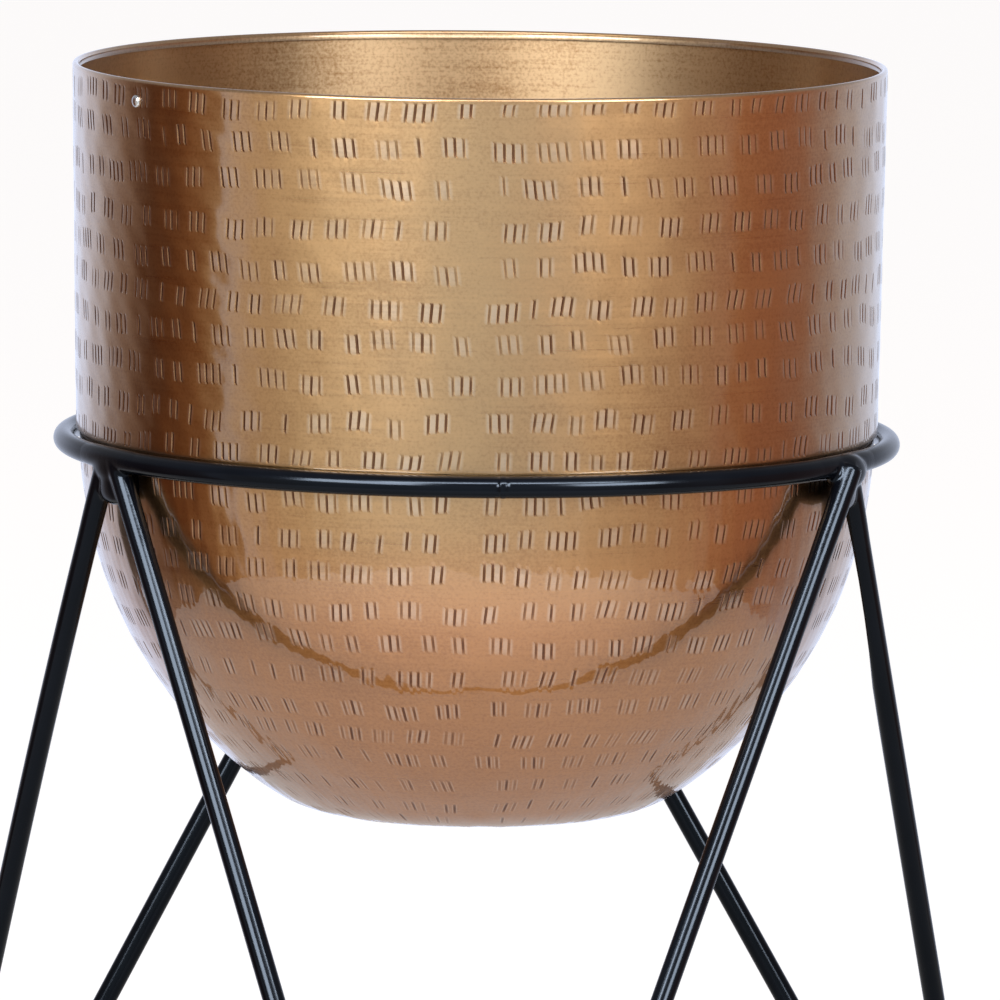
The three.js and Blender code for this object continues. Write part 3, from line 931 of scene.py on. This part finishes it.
def joint_solids(joint):
    """A stretch of the ring, the tops of two legs, and the web and the saddle of weld between them."""
    azimuth = JOINTS[joint]
    outward = outwards(azimuth)
    legs = [leg for leg in LEGS if leg[0] == joint]
    stretch = ring_path(azimuth - JOINT_HALF_SPAN, azimuth + JOINT_HALF_SPAN, 2 * JOINT_HALF_SPAN)
    solids = [tube(stretch, [melted(i / JOINT_HALF_SPAN - 1) for i in range(len(stretch))])]
    for leg in legs:
        top = leg_path(leg, 60)[:9]
        solids.append(tube(top, [melted(i / 8) for i in range(9)]))
    solids.append(weld_web(leg_ends(legs[0]), leg_ends(legs[1]), outward))
    offset = sum(leg[3] for leg in legs) / len(legs)
    saddle = polar(azimuth, RING_RADIUS + offset / 2, RING_Z - SADDLE_DROP)
    thickness = BAR_RADIUS + SADDLE_PROUD + abs(offset) / 2
    solids.append(weld_saddle(saddle, tangent(azimuth), outward, thickness))
    return solids


def gathered(solids):
    """The points and faces of several solids as one list of each."""
    points, faces = [], []
    for solid_points, solid_faces in solids:
        base = len(points)
        points += solid_points
        faces += [tuple(base + i for i in face) for face in solid_faces]
    return points, faces


def apply_modifiers(piece):
    """Makes the shape that a piece's modifiers give it its own."""
    graph = bpy.context.evaluated_depsgraph_get()
    mesh = bpy.data.meshes.new_from_object(piece.evaluated_get(graph), depsgraph=graph)
    piece.modifiers.clear()
    piece.data = mesh
    mesh.polygons.foreach_set("use_smooth", [True] * len(mesh.polygons))


def make_joint(joint, material):
    """Ring, leg tops and welds melted into one lump, with filleted crotches."""
    lump = add_iron(f"joint_weld_{joint}", gathered(joint_solids(joint)), material, [f"web_weld_{joint}"])
    remesh = lump.modifiers.new("melt", "REMESH")
    remesh.mode = "VOXEL"
    remesh.voxel_size = VOXEL
    remesh.use_smooth_shade = True
    soften = lump.modifiers.new("soften", "SMOOTH")
    soften.factor = 0.5
    soften.iterations = 36
    apply_modifiers(lump)
    keep_clear_of_pot([vertex.co for vertex in lump.data.vertices])
    return lump


def make_rivet(material):
    """A domed head, a shank through the wall and a flat tail, turned round the rivet's own axis."""
    z = RIM_Z - RIVET_DROP
    seat = polar(RIVET_AZIMUTH, wall_radius(z), z)
    outward, side, up = outwards(RIVET_AZIMUTH), tangent(RIVET_AZIMUTH), Vector((0, 0, 1))
    tail = -SHEET - 2 * FIT_GAP
    outline = [(RIVET_TAIL_RADIUS * 0.8, tail - RIVET_TAIL_HEIGHT)]
    outline += [(RIVET_TAIL_RADIUS, tail - RIVET_TAIL_HEIGHT * 0.7), (RIVET_TAIL_RADIUS, tail)]
    outline += [(RIVET_SHANK_RADIUS, tail), (RIVET_SHANK_RADIUS, 0), (RIVET_HEAD_RADIUS, 0)]
    steps = 8
    for i in range(steps):
        angle = math.pi / 2 * i / steps
        height = RIVET_HEAD_EDGE + RIVET_HEAD_HEIGHT * math.sin(angle)
        outline.append((RIVET_HEAD_RADIUS * math.cos(angle), height))
    sections = [ring_of(seat + outward * depth, side * r, up * r, RING_SIDES) for r, depth in outline]
    return add_piece(solid_mesh("rivet", lofted(sections), material), "pot", ["rim_rivet"])


make_camera()
make_room()
make_floor()
hammered = brass("hammered_brass", (0.53, 0.312, 0.138), (0.40, 0.212, 0.084), False)
brushed = brass("brushed_brass", (0.72, 0.50, 0.29), (0.42, 0.24, 0.11), True)
black = black_coat()
steel = rivet_steel()
make_wall([hammered, brushed])
make_bowl([hammered, brushed])
make_rivet(steel)
stand = [make_ring(black), make_butt_weld(black)]
stand += [make_hairpin(foot, black) for foot in FEET]
stand += [make_joint(joint, black) for joint in JOINTS]
make_softboxes(stand)
